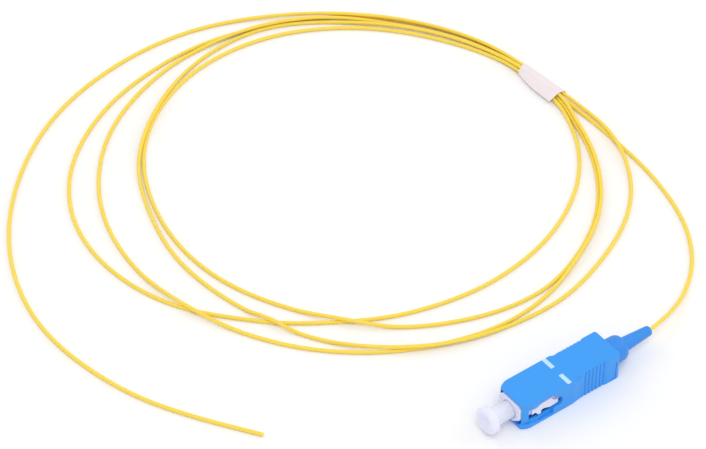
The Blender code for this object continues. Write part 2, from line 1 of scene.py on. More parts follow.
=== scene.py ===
"""Dresses the fibre optic pigtail: the fibre, its tape, and the pieces of the connector.

Sizes are millimetres until MM turns them into metres. A depth is a distance behind the outer housing's
front face; +X is the way the plug goes into its adapter and +Z is up.
"""

import math

import bmesh
import bpy
import numpy as np
from mathutils import Matrix, Vector


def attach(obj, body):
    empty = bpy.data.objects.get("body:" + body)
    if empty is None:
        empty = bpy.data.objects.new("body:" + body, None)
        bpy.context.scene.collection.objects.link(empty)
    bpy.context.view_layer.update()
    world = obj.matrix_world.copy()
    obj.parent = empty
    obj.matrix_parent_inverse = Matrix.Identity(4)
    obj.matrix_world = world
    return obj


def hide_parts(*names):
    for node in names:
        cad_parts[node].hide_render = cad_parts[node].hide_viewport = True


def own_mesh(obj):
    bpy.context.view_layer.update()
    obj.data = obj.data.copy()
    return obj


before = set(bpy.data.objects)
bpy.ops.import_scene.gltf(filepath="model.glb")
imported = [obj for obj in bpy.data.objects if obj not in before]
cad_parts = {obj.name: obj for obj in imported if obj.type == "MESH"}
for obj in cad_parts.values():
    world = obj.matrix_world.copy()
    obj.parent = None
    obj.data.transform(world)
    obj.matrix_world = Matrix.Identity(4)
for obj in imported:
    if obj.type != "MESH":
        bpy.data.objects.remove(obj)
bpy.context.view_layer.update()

MM = 0.001
# How far a cutter runs on past what it cuts
PAST = 1.0
TURNED_SEGMENTS = 96
BORE_SEGMENTS = 72
# A corner's sideways move has this least share, and its curve takes up this share of an edge at most
MITRE_LEAST = 0.35
CURVE_MOST = 0.45
# Angles in degrees above which an edge stays sharp
CREASE = 32
HOUSING_CREASE = 28
FRAME_CREASE = 30
SPRING_CREASE = 40
TAPE_CREASE = 50
FACE_AREA_WEIGHT = 80

# Connector
HOUSING_LENGTH = 27.3
HOUSING_WIDTH = 9.0
HOUSING_HEIGHT = 7.4
CAP_REACH = 7.2
BOOT_END = 39.6
AXIS_HEIGHT = HOUSING_HEIGHT / 2
FRONT = (BOOT_END - CAP_REACH) / 2

# Outer housing
NOSE_LENGTH = 2.5
NOSE_INSET = 1.0
GRIP_START = 13.6
GRIP_SLOPE = 3.0
GRIP_INSET = 0.32
REAR_START = 23.6
REAR_SLOPE = 0.7
REAR_INSET = 0.15
REAR_ROUND = 0.6
EDGE_ROUND = 0.16
WALL_SIDE = 0.95
WALL_TOP = 0.75
CAVITY_FOOT = 1.0
CAVITY_ROUND = 0.35
CAVITY_PAST_BORE = 0.25
# The cavity's flared mouth: how far out at which depth
CAVITY_MOUTH = ((0.14, 0.0), (0.05, 0.1), (0.0, 0.22))
REAR_BORE_DEPTH = 4.8
REAR_BORE_DIAMETER = 6.5
REAR_BORE_FLARE = 0.2
REAR_BORE_FLARE_DEPTH = 0.3
MARK_DEPTH_IN = 12.75
MARK_LENGTH = 3.3
MARK_WIDTH = 1.15
MARK_RECESS = 0.12
MARK_ROUND = 0.15
MARK_EASE = 0.04
WINDOW_ROUND = 0.45
RIM = 0.1
RIM_LAND = 0.01
RECESS_DEPTH = 0.45
RECESS_TOP = 5.0
RECESS_ROUND = 0.3
RECESS_OVERLAP = 0.2
RECESS_CORNER_DEPTH = 0.22
LIP_FRONT = 1.4
GROOVE_DEPTH = 0.13
GROOVE_TAPER = 0.04
GROOVE_LAND = 0.03
SCALLOP_DEPTH_IN = 15.5
SCALLOP_HEIGHT = 7.0
SCALLOP_OUT = 0.3
SCALLOP_REACH = (1.3, 0.62, 0.95)
RIB_COUNT = 6
RIB_START = 17.45
RIB_PITCH = 1.04
RIB_RADIUS = 0.25
RIB_PROUD = 0.02

# Plug frame
FRAME_HALF_WIDTH = 3.4
FRAME_LOW = 1.05
FRAME_HIGH = 6.5
FRAME_PROUD = 0.4
FRAME_END = 20.0
FRAME_EDGE = 0.1
FRAME_FOOT_IN = 2.1
FRAME_FOOT_UP = 1.75
FRAME_SHOULDER = 0.8
FRAME_ROUND = 0.3
RECESS_BORE = 4.3
RECESS_FLOOR = 6.0
RECESS_CHAMFER = 0.12
WEB = 1.0
PASSAGE_BORE = 2.8
CHAMBER_BORE = 4.6
CATCH_PROUD = 0.6
CATCH_ROUND = 0.22
CATCH_EDGE = 0.14
CATCH_KNEE = 0.04

# Spring, which the ferrule's flange pushes together towards its rear end
SPRING_FRONT = 9.72
SPRING_REAR = 14.85
SPRING_WIRE = 0.45
SPRING_DIAMETER = 4.2
SPRING_TURNS = 5.5
SPRING_CLOSED = 0.8
SPRING_CLOSED_PITCH = 1.02
SPRING_STEPS_PER_TURN = 28

# Boot
BOOT_START = 24.0
BOOT_COLLAR = 3.05
BOOT_EDGE = 0.15
BOOT_SHOULDER_START = 30.0
BOOT_NECK_AT = 31.55
BOOT_NECK = 1.7
BOOT_STEP = 0.35
BOOT_STEP_LENGTH = 0.3
BOOT_TIP = 1.2
BOOT_TIP_ROUND = 0.5
BOOT_SEAT = 2.35
BOOT_SEAT_END = 29.65
BOOT_PASSAGE = 0.65

# Ferrule
FERRULE_TIP = -1.6
FERRULE_RADIUS = 1.25
FERRULE_FACE = 0.85
FERRULE_DOME = 0.03
FERRULE_END = 8.9
FERRULE_CHAMFER = 0.15
FERRULE_CHAMFER_DEPTH = 0.2
# The tip's chamfer: depth behind the tip, and radius
FERRULE_LEAD_IN = ((0.06, 0.89), (0.38, 1.23), (0.44, 1.25))
GLASS_RADIUS = 0.0625
GLASS_AHEAD = 17.0

# Dust cap, which is loose enough on the ferrule to lean a little upwards
CAP_PIVOT = 0.95
CAP_LEAN = 1.5
CAP_HEAD = 3.2
CAP_HEAD_THICKNESS = 2.0
# The sunk middle of the head: depth and radius of its floor, and of its rim
CAP_FLOOR = (0.12, 1.55)
CAP_RIM = (0.02, 1.75)
CAP_FRONT_ROUND = 0.75
CAP_REAR_ROUND = 0.35
CAP_ROOT = 0.3
CAP_SHAFT_FRONT = 2.06
CAP_SHAFT_REAR = 2.08
CAP_END = 3.5
CAP_BORE = 1.35
CAP_BORE_FRONT = -3.0

# Fibre
FIBRE_DIAMETER = 0.9
FLOOR_HEIGHT = 0.46
LEAD_STRAIGHT = 2.0
FIBRE_STEP = 1.2
COIL_MIDDLE = (-6.0, -84.0)
COIL_TURNS = 4

# Where each of the four passes lies at bearings round the coil: distance and height of the middle.
PASSES = {
    178: ((54.6, 0.85), (52.6, 0.85), (53.6, 0.85), (53.6, 1.84)),
    186: ((54.9, 0.85), (52.9, 0.85), (53.9, 0.85), (53.4, 1.69)),
    196: ((55.5, 0.50), (52.7, 0.50), (54.3, 0.50), (53.4, 1.25)),
    208: ((55.9, 0.46), (52.0, 0.46), (54.2, 0.46), (53.1, 1.20)),
    222: ((56.1, 0.46), (52.0, 0.46), (54.4, 0.46), (53.2, 1.15)),
    240: ((57.1, 0.46), (52.7, 0.46), (56.1, 1.10), (55.0, 0.46)),
    260: ((58.3, 0.46), (53.6, 0.46), (57.7, 1.30), (57.1, 0.46)),
    270: ((59.6, 0.46), (53.7, 0.46), (58.5, 0.85), (56.5, 0.46)),
    280: ((60.9, 0.46), (53.6, 0.46), (59.3, 0.46), (55.5, 0.46)),
    290: ((62.3, 0.46), (53.2, 0.46), (59.7, 0.46), (54.0, 1.10)),
    300: ((64.1, 0.46), (52.6, 0.46), (60.2, 0.46), (52.9, 1.42)),
    310: ((65.8, 0.46), (51.9, 0.46), (60.8, 0.46), (52.4, 1.35)),
    322: ((67.7, 0.46), (50.8, 0.46), (61.2, 0.46), (52.0, 0.70)),
    340: ((68.2, 0.46), (49.3, 0.46), (61.4, 0.46), (50.9, 0.46)),
    360: ((64.8, 0.46), (48.8, 0.46), (61.0, 0.55), (51.6, 0.46)),
    373: ((61.0, 0.46), (48.8, 0.46), (60.8, 1.45), (52.4, 0.46)),
    386: ((56.4, 0.46), (48.9, 0.46), (60.3, 0.55), (53.8, 0.60)),
    392: ((54.8, 0.46), (49.1, 0.46), (60.3, 0.46), (54.8, 1.45)),
    398: ((53.3, 0.46), (49.5, 0.55), (60.4, 0.46), (56.0, 0.70)),
    409: ((51.1, 0.46), (51.2, 1.45), (60.5, 0.46), (58.1, 0.65)),
    422: ((49.8, 0.46), (53.3, 0.55), (60.7, 0.46), (60.6, 1.47)),
    434: ((48.9, 0.46), (55.0, 0.46), (60.8, 0.46), (61.7, 1.15)),
    446: ((48.6, 0.46), (56.8, 0.46), (60.9, 0.46), (62.1, 0.50)),
    460: ((48.7, 0.46), (58.3, 0.46), (59.9, 0.60), (63.2, 0.46)),
    472: ((49.3, 0.46), (58.0, 0.46), (58.7, 1.25), (63.4, 0.46)),
    486: ((50.4, 0.46), (57.4, 0.46), (58.1, 1.35), (64.2, 0.46)),
    500: ((51.8, 0.46), (56.2, 0.46), (56.8, 1.38), (64.0, 0.60)),
    515: ((53.0, 0.46), (54.8, 0.46), (55.2, 1.45), (61.1, 1.47)),
    521: ((53.3, 0.55), (54.4, 0.55), (54.8, 1.53), (59.6, 0.80)),
    530: ((53.4, 0.85), (54.4, 0.85), (54.9, 1.74), (56.4, 1.45)),
}
# The tail from the tape round the outside: bearing, distance, height
TAIL = (
    (178, 54.8, 1.84),
    (186, 54.4, 1.70),
    (196, 54.9, 1.38),
    (208, 55.2, 1.30),
    (222, 55.6, 1.42),
    (240, 57.4, 1.40),
    (256, 61.2, 0.75),
    (272, 65.8, 0.46),
    (290, 70.3, 0.46),
    (308, 75.3, 0.46),
    (326, 80.1, 0.46),
    (344, 85.2, 0.46),
    (362, 88.4, 0.46),
    (371, 88.5, 0.46),
    (380, 88.3, 0.46),
    (390, 87.5, 0.46),
    (399.6, 87.75, 0.46),
)
# The lead from the boot's end to the tape: x, y and height of the middle
LEAD = (
    (-25.8, -0.45, 3.50),
    (-29.1, -1.5, 2.85),
    (-33.0, -3.0, 1.95),
    (-37.3, -5.1, 1.00),
    (-42.0, -8.0, 0.50),
    (-47.5, -12.6, 0.46),
    (-51.3, -17.3, 0.46),
    (-55.2, -24.2, 0.46),
    (-58.4, -33.8, 0.46),
    (-60.3, -44.0, 0.46),
    (-61.0, -54.0, 0.46),
    (-61.2, -63.0, 0.46),
    (-61.0, -69.0, 0.55),
    (-60.6, -75.0, 0.85),
)

# Tape
TAPE_FROM = -88.6
TAPE_TO = -75.3
TAPE_CLEAR = 0.06
TAPE_WALL = 0.12
TAPE_STATIONS = 34
TAPE_POINTS = 88
TAPE_HULL_ANGLES = 1440
# The tape is on the side of the coil where x is less than this
TAPE_SIDE = -50
# Where the tape's two ends stick together beyond the strands
FLAG_OUT = 0.2
FLAG_SPREAD = 0.6
FLAG_BULGE = 0.4
FLAG_LEVEL = 0.95
# The fold on the strands' other side
FOLD_IN = 0.05
FOLD_SPREAD = 0.33
FOLD_LEVEL = 1.45
EDGE_RADIUS = 0.05
RIPPLE = 0.02
RIPPLE_RATE = 7
LEAN_START = 0.23
LEAN_END = -0.02

# Camera
CAMERA_AZIMUTH = 143.20
CAMERA_ELEVATION = 43.15
CAMERA_DISTANCE = 680.0
CAMERA_AIM = (6.3, -69.8, 0.0)
CAMERA_LENS = 149.7
CAMERA_SENSOR = 36.0
CAMERA_CLIP = (0.05, 20.0)

# Surfaces: the broad cloudiness, and the part of each noise that is used
CLOUD_SCALE = 230.0
CLOUD_DETAIL = 4.0
CLOUD_ROUGHNESS = 0.6
GRAIN_DETAIL = 5.0
GRAIN_SHARE = 0.35
NOISE_LOW = 0.3
NOISE_HIGH = 0.7
LEAST_ROUGHNESS = 0.03
BUMP_STRENGTH = 0.35

# Studio, in metres and watts
FLOOR_REACH = 2.5
FLOOR_SHADE = 0.93
FLOOR_ROUGHNESS = 0.75
FLOOR_GLOSS = 0.15
WORLD_STRENGTH = 0.75
LAMP_SIZE = 0.8
LAMP_AIM = (0, -0.06, 0)
LAMPS = (
    ("key", (0.3, 0.45, 1.15), 4.6),
    ("fill", (-0.9, 0.3, 0.75), 1.7),
    ("back", (0.1, -0.95, 0.8), 1.6),
)


def metres(point):
    return Vector(tuple(float(value) * MM for value in point))


def along(depth):
    return FRONT - depth


def linear(red, green, blue):
    """A colour as a screen shows it, 0 to 255, turned into the linear values that a shader takes."""
    values = []
    for value in (red, green, blue):
        share = value / 255
        values.append(share / 12.92 if share <= 0.04045 else ((share + 0.055) / 1.055) ** 2.4)
    return tuple(values)


def surface(
    name, colour, roughness, mottle=0.05, grain=2600.0, relief=0.006, spread=0.06, streaks=None, **sockets,
):
    """Moulded or drawn material: slight cloudiness in colour and gloss, and a fine grain in the relief."""
    made = bpy.data.materials.new(name)
    made.use_nodes = True
    nodes, links = made.node_tree.nodes, made.node_tree.links
    shader = nodes["Principled BSDF"]
    for socket, value in sockets.items():
        shader.inputs[socket.replace("_", " ")].default_value = value
    place = nodes.new("ShaderNodeTexCoord")
    source = place.outputs["Object"]
    if streaks:
        stretch = nodes.new("ShaderNodeMapping")
        stretch.inputs["Scale"].default_value = streaks
        links.new(source, stretch.inputs["Vector"])
        source = stretch.outputs["Vector"]
    broad = nodes.new("ShaderNodeTexNoise")
    broad.inputs["Scale"].default_value = CLOUD_SCALE
    broad.inputs["Detail"].default_value = CLOUD_DETAIL
    broad.inputs["Roughness"].default_value = CLOUD_ROUGHNESS
    fine = nodes.new("ShaderNodeTexNoise")
    fine.inputs["Scale"].default_value = grain
    fine.inputs["Detail"].default_value = GRAIN_DETAIL
    links.new(source, broad.inputs["Vector"])
    links.new(source, fine.inputs["Vector"])
    both = nodes.new("ShaderNodeMix")
    both.inputs["Factor"].default_value = GRAIN_SHARE
    links.new(broad.outputs["Fac"], both.inputs["A"])
    links.new(fine.outputs["Fac"], both.inputs["B"])
    ramp = nodes.new("ShaderNodeValToRGB")
    dark, light = ramp.color_ramp.elements
    dark.position = NOISE_LOW
    light.position = NOISE_HIGH
    dark.color = (*(value * (1 - mottle) for value in colour), 1)
    light.color = (*(min(1, value * (1 + mottle)) for value in colour), 1)
    links.new(both.outputs["Result"], ramp.inputs["Fac"])
    links.new(ramp.outputs["Color"], shader.inputs["Base Color"])
    gloss = nodes.new("ShaderNodeMapRange")
    gloss.inputs["From Min"].default_value = NOISE_LOW
    gloss.inputs["From Max"].default_value = NOISE_HIGH
    gloss.inputs["To Min"].default_value = max(LEAST_ROUGHNESS, roughness - spread)
    gloss.inputs["To Max"].default_value = roughness + spread
    links.new(broad.outputs["Fac"], gloss.inputs["Value"])
    links.new(gloss.outputs["Result"], shader.inputs["Roughness"])
    bump = nodes.new("ShaderNodeBump")
    bump.inputs["Strength"].default_value = BUMP_STRENGTH
    bump.inputs["Distance"].default_value = relief * MM
    links.new(fine.outputs["Fac"], bump.inputs["Height"])
    links.new(bump.outputs["Normal"], shader.inputs["Normal"])
    return made


def object_from(name, data, *surfaces):
    mesh = bpy.data.meshes.new(name)
    bmesh.ops.recalc_face_normals(data, faces=data.faces)
    data.to_mesh(mesh)
    data.free()
    obj = bpy.data.objects.new(name, mesh)
    bpy.context.scene.collection.objects.link(obj)
    for made in surfaces:
        mesh.materials.append(made)
    return obj


def smooth_shaded(obj, angle=CREASE):
    obj.data.shade_smooth()
    obj.data.set_sharp_from_angle(angle=math.radians(angle))
    return obj


def loft(name, rings, *surfaces, closed=False):
    """Rings of equal count joined in order; the ends are filled, or meet each other where closed."""
    data = bmesh.new()
    made = [[data.verts.new(metres(point)) for point in ring] for ring in rings]
    pairs = list(zip(made, made[1:]))
    if closed:
        pairs.append((made[-1], made[0]))
    else:
        data.faces.new(made[0])
        data.faces.new(made[-1])
    count = len(made[0])
    for first, second in pairs:
        for index in range(count):
            following = (index + 1) % count
            data.faces.new((first[index], first[following], second[following], second[index]))
    return object_from(name, data, *surfaces)


def turned(name, profile, *surfaces, segments=TURNED_SEGMENTS, hollow=True):
    """A piece turned about the connector's axis from (depth, radius) points; a hollow one is closed."""
    data = bmesh.new()
    rings = []
    for depth, radius in profile:
        if radius == 0:
            rings.append([data.verts.new(metres((along(depth), 0, AXIS_HEIGHT)))])
            continue
        ring = []
        for step in range(segments):
            angle = 2 * math.pi * (step + 0.5) / segments
            point = (along(depth), radius * math.cos(angle), AXIS_HEIGHT + radius * math.sin(angle))
            ring.append(data.verts.new(metres(point)))
        rings.append(ring)
    pairs = list(zip(rings, rings[1:]))
    if hollow:
        pairs.append((rings[-1], rings[0]))
    for first, second in pairs:
        for step in range(segments):
            following = (step + 1) % segments
            corners = [first[step % len(first)], first[following % len(first)]]
            corners += [second[following % len(second)], second[step % len(second)]]
            unique = list(dict.fromkeys(corners))
            if len(unique) > 2:
                data.faces.new(unique)
    return smooth_shaded(object_from(name, data, *surfaces))


def arc(middle, radius, start, end, steps):
    """Points round an arc, from one angle to another in degrees."""
    points = []
    for step in range(steps + 1):
        angle = math.radians(start + (end - start) * step / steps)
        points.append((middle[0] + radius * math.cos(angle), middle[1] + radius * math.sin(angle)))
    return points


def offset(outline, distance):
    """The same outline moved outwards all round, or inwards where the distance is negative."""
    points = np.array(outline, float)
    before = points - np.roll(points, 1, axis=0)
    after = np.roll(points, -1, axis=0) - points
    area = np.sum(points[:, 0] * np.roll(points[:, 1], -1) - np.roll(points[:, 0], -1) * points[:, 1])
    turn = 1 if area > 0 else -1
    normals = []
    for edge in (before, after):
        length = np.linalg.norm(edge, axis=1, keepdims=True)
        normals.append(np.column_stack((edge[:, 1], -edge[:, 0])) / length * turn)
    middle = normals[0] + normals[1]
    share = np.sum(middle * normals[0], axis=1, keepdims=True)
    return points + middle / np.maximum(share, MITRE_LEAST) * distance


def rounded(outline, radius, steps=5):
    """The outline with each corner turned into a small curve."""
    made = []
    count = len(outline)
    for index in range(count):
        corner = np.array(outline[index], float)
        sides = []
        for other in (outline[index - 1], outline[(index + 1) % count]):
            edge = np.array(other, float) - corner
            length = np.linalg.norm(edge)
            sides.append(corner + edge / length * min(radius, length * CURVE_MOST))
        for step in range(steps + 1):
            share = step / steps
            rest = 1 - share
            made.append(rest ** 2 * sides[0] + 2 * share * rest * corner + share ** 2 * sides[1])
    return [tuple(point) for point in made]


def layered(name, layers, place, *surfaces):
    """Outlines at levels, lofted; place orders two directions and the level as x, y, z."""
    rings = [[place(first, second, level) for first, second in outline] for outline, level in layers]
    return loft(name, rings, *surfaces)


def seen_from_above(first, second, level):
    return (along(first), second, level)


def seen_from_side(first, second, level):
    return (along(first), level, HOUSING_HEIGHT - second)


def seen_from_front(first, second, level):
    return (along(level), first, second)


def edge_levels(low, high, radius, steps=5):
    """Level and inset of each ring of a body whose two ends have rounded edges."""
    rise = []
    for step in range(steps + 1):
        angle = math.pi / 2 * step / steps
        rise.append((radius * (1 - math.cos(angle)), radius * (1 - math.sin(angle))))
    levels = [(low + up, inset) for up, inset in rise]
    return levels + [(high - up, inset) for up, inset in reversed(rise)]


def apply_cutters(target, cutters, joins=()):
    """Cuts and joins for good, and takes the cutters away."""
    work = [(other, "UNION") for other in joins] + [(other, "DIFFERENCE") for other in cutters]
    for other, operation in work:
        modifier = target.modifiers.new(other.name, "BOOLEAN")
        modifier.operation = operation
        modifier.object = other
    depsgraph = bpy.context.evaluated_depsgraph_get()
    mesh = bpy.data.meshes.new_from_object(target.evaluated_get(depsgraph))
    old = target.data
    target.modifiers.clear()
    target.data = mesh
    mesh.name = target.name
    bpy.data.meshes.remove(old)
    for other in list(cutters) + list(joins):
        bpy.data.objects.remove(other, do_unlink=True)
    return target


def clean_normals(obj):
    modifier = obj.modifiers.new("even shading", "WEIGHTED_NORMAL")
    modifier.keep_sharp = True
    modifier.weight = FACE_AREA_WEIGHT
    return obj


def add_camera():
    azimuth, elevation = math.radians(CAMERA_AZIMUTH), math.radians(CAMERA_ELEVATION)
    flat = math.cos(elevation)
    back = Vector((math.sin(azimuth) * flat, -math.cos(azimuth) * flat, math.sin(elevation)))
    data = bpy.data.cameras.new("camera")
    data.lens = CAMERA_LENS
    data.sensor_width = CAMERA_SENSOR
    data.clip_start, data.clip_end = CAMERA_CLIP
    camera = bpy.data.objects.new("camera", data)
    camera.location = metres(CAMERA_AIM) + back * (CAMERA_DISTANCE * MM)
    camera.rotation_euler = back.to_track_quat("Z", "Y").to_euler()
    bpy.context.scene.collection.objects.link(camera)
    bpy.context.scene.camera = camera


def smooth(positions, values, wanted):
    """A natural cubic through values at positions, read at the wanted positions."""
    positions, values = np.asarray(positions, float), np.asarray(values, float)
    count = len(positions)
    gaps = np.diff(positions)
    matrix = np.eye(count)
    right = np.zeros(values.shape)
    for row in range(1, count - 1):
        matrix[row, row - 1:row + 2] = gaps[row - 1], 2 * (gaps[row - 1] + gaps[row]), gaps[row]
        rise = (values[row + 1] - values[row]) / gaps[row]
        right[row] = 6 * (rise - (values[row] - values[row - 1]) / gaps[row - 1])
    bend = np.linalg.solve(matrix, right)
    wanted = np.asarray(wanted, float)
    at = np.clip(np.searchsorted(positions, wanted) - 1, 0, count - 2)
    gap = gaps[at][:, None]
    ahead = (positions[at + 1] - wanted)[:, None] / gap
    behind = (wanted - positions[at])[:, None] / gap
    curve = ahead * values[at] + behind * values[at + 1]
    return curve + ((ahead**3 - ahead) * bend[at] + (behind**3 - behind) * bend[at + 1]) * gap**2 / 6


def round_the_coil(bearing, distance, height):
    angle = math.radians(bearing)
    x, y = COIL_MIDDLE
    return (x + distance * math.cos(angle), y + distance * math.sin(angle), height)


def fibre_route():
    """Points close together along the whole fibre, from just inside the boot to the bare end."""
    exit_at = along(BOOT_END)
    straight = [(exit_at + LEAD_STRAIGHT, 0, AXIS_HEIGHT), (exit_at, 0, AXIS_HEIGHT)]
    coil = []
    for turn in range(COIL_TURNS):
        coil += [round_the_coil(bearing, *lanes[turn]) for bearing, lanes in PASSES.items()]
    tail = [round_the_coil(*place) for place in TAIL]
    places = np.array(straight + list(LEAD) + coil + tail, float)
    travelled = np.concatenate(([0], np.cumsum(np.linalg.norm(np.diff(places, axis=0), axis=1))))
    wanted = np.linspace(0, travelled[-1], round(travelled[-1] / FIBRE_STEP))
    read = smooth(travelled, places, wanted)
    read[:, 2] = np.maximum(read[:, 2], FLOOR_HEIGHT)
    return read


def make_fibre(route, made):
    curve = bpy.data.curves.new("fibre", "CURVE")
    curve.dimensions = "3D"
    spline = curve.splines.new("POLY")
    spline.points.add(len(route) - 1)
    for place, point in zip(spline.points, route):
        place.co = (*metres(point), 1.0)
    curve.bevel_depth = FIBRE_DIAMETER / 2 * MM
    curve.bevel_resolution = 4
    curve.use_fill_caps = True
    curve.materials.append(made)
    fibre = bpy.data.objects.new("fibre", curve)
    bpy.context.scene.collection.objects.link(fibre)
    return fibre


def strands_at(route, y):
    """Where the fibre passes a place along the tape, as x and z of each strand."""
    found = []
    for first, second in zip(route, route[1:]):
        if (first[1] - y) * (second[1] - y) <= 0 and first[1] != second[1]:
            share = (y - first[1]) / (second[1] - first[1])
            place = first + (second - first) * share
            if place[0] < TAPE_SIDE:
                found.append((place[0], place[2]))
    return found


def hull_ring(circles, count):
    """Points evenly round the outside of circles given as (x, z, radius)."""
    circles = np.array(circles)
    angles = np.linspace(0, 2 * math.pi, TAPE_HULL_ANGLES, endpoint=False) + math.pi
    ways = np.column_stack((np.cos(angles), np.sin(angles)))
    reach = ways @ circles[:, :2].T + circles[:, 2]
    best = reach.argmax(axis=1)
    points = circles[best, :2] + ways * circles[best, 2:]
    loop = np.vstack((points, points[:1]))
    travelled = np.concatenate(([0], np.cumsum(np.linalg.norm(np.diff(loop, axis=0), axis=1))))
    wanted = np.linspace(0, travelled[-1], count, endpoint=False)
    return np.column_stack([np.interp(wanted, travelled, loop[:, axis]) for axis in (0, 1)])


def make_tape(route, made):
    """Tape wrapped round the strands; its two ends stick together beside them, wider towards one mouth."""
    stations = np.linspace(TAPE_FROM, TAPE_TO, TAPE_STATIONS)
    outer_rings, inner_rings = [], []
    for index, y in enumerate(stations):
        share = index / (TAPE_STATIONS - 1)
        strands = strands_at(route, y)
        right = max(x for x, _ in strands) + FIBRE_DIAMETER / 2
        left = min(x for x, _ in strands) - FIBRE_DIAMETER / 2
        flag = right + FLAG_OUT + FLAG_SPREAD * share + FLAG_BULGE * math.sin(math.pi * share)
        fold = left + FOLD_IN - FOLD_SPREAD * share
        ripple = RIPPLE * math.sin(share * RIPPLE_RATE)
        for rings, grow in ((outer_rings, TAPE_CLEAR + TAPE_WALL), (inner_rings, TAPE_CLEAR)):
            circles = [(x, z, FIBRE_DIAMETER / 2 + grow) for x, z in strands]
            circles.append((flag + ripple, FLAG_LEVEL + ripple, EDGE_RADIUS + grow))
            circles.append((fold, FOLD_LEVEL, EDGE_RADIUS + grow))
            ring = hull_ring(circles, TAPE_POINTS)
            slant = ring[:, 0] - ring[:, 0].mean()
            lean = LEAN_START * (1 - share) + LEAN_END * share
            rings.append([(x, y + lean * by, z) for (x, z), by in zip(ring, slant)])
    tape = loft("tape", outer_rings + inner_rings[::-1], made, closed=True)
    return smooth_shaded(tape, TAPE_CREASE)


def make_cap(made):
    """The dust cap: a drafted shaft with a thick rounded disc for a head, and a blind bore."""
    front, rear, root = CAP_FRONT_ROUND, CAP_REAR_ROUND, CAP_ROOT
    head_rear = -CAP_REACH + CAP_HEAD_THICKNESS
    profile = [(-CAP_REACH + CAP_FLOOR[0], 0)]
    profile += [(-CAP_REACH + sunk, reach) for sunk, reach in (CAP_FLOOR, CAP_RIM)]
    profile += arc((-CAP_REACH + front, CAP_HEAD - front), front, 180, 90, 8)
    profile += arc((head_rear - rear, CAP_HEAD - rear), rear, 90, 0, 6)
    profile += arc((head_rear + root, CAP_SHAFT_FRONT + root), root, 180, 270, 5)
    profile += [(CAP_END - 0.15, CAP_SHAFT_REAR), (CAP_END - 0.04, CAP_SHAFT_REAR - 0.04)]
    profile += [(CAP_END, CAP_SHAFT_REAR - 0.15), (CAP_END, CAP_BORE + 0.3), (CAP_END - 0.3, CAP_BORE)]
    profile += [(CAP_BORE_FRONT + 0.1, CAP_BORE), (CAP_BORE_FRONT, CAP_BORE - 0.1), (CAP_BORE_FRONT, 0)]
    cap = turned("cap_body", profile, made, hollow=False)
    pivot = metres((along(CAP_PIVOT), 0, AXIS_HEIGHT))
    lean = Matrix.Rotation(-math.radians(CAP_LEAN), 4, "Y")
    cap.data.transform(Matrix.Translation(pivot) @ lean @ Matrix.Translation(-pivot))
    return cap


def eased(start, end, before, after, steps=12):
    """Points of a soft step from one reach to another along the connector."""
    made = []
    for step in range(steps + 1):
        share = step / steps
        change = (1 - math.cos(math.pi * share)) / 2
        made.append((start + (end - start) * share, before + (after - before) * change))
    return made


def nose_side(inset, reach, steps=16):
    """The nose's curve from above, from the front face back to where the side is straight."""
    shares = [step / steps for step in range(steps + 1)]
    return [(NOSE_LENGTH * share, reach - inset * (1 - share) ** 2) for share in shares]


def housing_side(steps=14):
    """One side of the outer housing from above: nose, straight side, drawn-in grip and rear end."""
    half = HOUSING_WIDTH / 2
    rear = half - REAR_INSET
    side = nose_side(NOSE_INSET, half)
    side += eased(GRIP_START, GRIP_START + GRIP_SLOPE, half, half - GRIP_INSET)
    side += eased(REAR_START - REAR_SLOPE, REAR_START, half - GRIP_INSET, rear)
    side += arc((HOUSING_LENGTH - REAR_ROUND, rear - REAR_ROUND), REAR_ROUND, 90, 0, steps)
    return side


def side_reach(depth):
    """How far the outer housing's side is from the middle at a depth."""
    side = housing_side()
    return float(np.interp(depth, [point[0] for point in side], [point[1] for point in side]))


def window_outline():
    """A window from the side: depth, and distance below the top."""
    return [
        (1.55, 1.75), (3.6, 1.95), (4.55, 1.35), (7.9, 1.2), (9.05, 2.15), (10.3, 2.8), (10.9, 3.3),
        (10.9, 4.65), (10.3, 5.25), (8.7, 5.3), (8.3, 5.75), (6.4, 5.75), (3.9, 5.55), (1.55, 5.35),
    ]


def recess_outline():
    """The recess under a window, from the side."""
    start = NOSE_LENGTH - RECESS_OVERLAP
    front = HOUSING_HEIGHT - LIP_FRONT
    return [
        (start, RECESS_TOP), (8.5, RECESS_TOP), (8.55, 6.8), (4.5, 6.65),
        (NOSE_LENGTH, front + 0.1), (start, front),
    ]


def recess_corner_outline():
    """The deeper corner along the recess's lower edge, from the side."""
    return [(4.3, 6.58), (8.2, 5.2), (8.4, 5.2), (8.45, 6.7), (4.7, 6.66)]


def groove_outline():
    """The thin groove at a side's rear end, from the side."""
    return [(26.05, 2.1), (26.33, 2.1), (26.33, 7.05), (24.6, 7.05), (24.6, 6.75), (26.05, 6.75)]


def nose_outline():
    """The recess run on round the nose, from above, where it runs out at the front face."""
    half = HOUSING_WIDTH / 2
    end = NOSE_LENGTH + 0.1
    outline = nose_side(NOSE_INSET - RECESS_DEPTH, half - RECESS_DEPTH)
    outline += [(end, half - RECESS_DEPTH), (end, half + PAST), (-PAST, half + PAST)]
    return outline + [(-PAST, half - NOSE_INSET)]


def dent(name, centre, reach):
    """A smooth egg-shaped cutter."""
    data = bmesh.new()
    bmesh.ops.create_uvsphere(data, u_segments=40, v_segments=24, radius=1.0)
    for vertex in data.verts:
        vertex.co = metres([middle + size * value for middle, size, value in zip(centre, reach, vertex.co)])
    return object_from(name, data)


